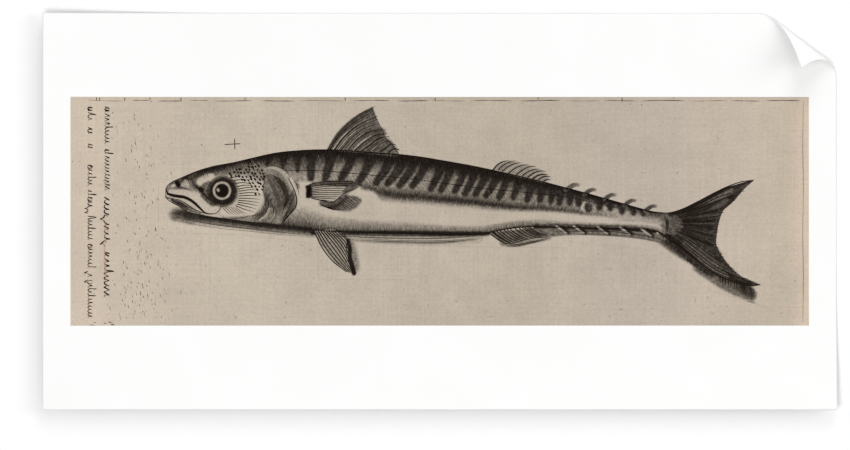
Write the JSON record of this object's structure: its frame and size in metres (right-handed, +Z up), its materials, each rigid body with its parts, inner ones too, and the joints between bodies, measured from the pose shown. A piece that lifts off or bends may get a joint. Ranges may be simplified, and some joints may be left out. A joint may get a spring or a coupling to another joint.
{
  "type": "art print",
  "caption": "Loose art print on heavy cotton paper: a wide sheet with broad white margins, an old-style mackerel engraving and one curled corner.",
  "frame": {"origin": "middle of the sheet, on the surface that its back lies on", "axes": "+X along the long edges towards the right of the picture, +Y towards the top of the picture, +Z up out of the picture"},
  "size_m": [0.6, 0.3, 0.027],
  "materials": {
    "paper": "matt, uncoated, with a picture printed on the front",
    "ink": "matt black-brown printing ink on the paper's front"
  },
  "bodies": {
    "root": {"paper_sheet": "paper"}
  },
  "joints": []
}
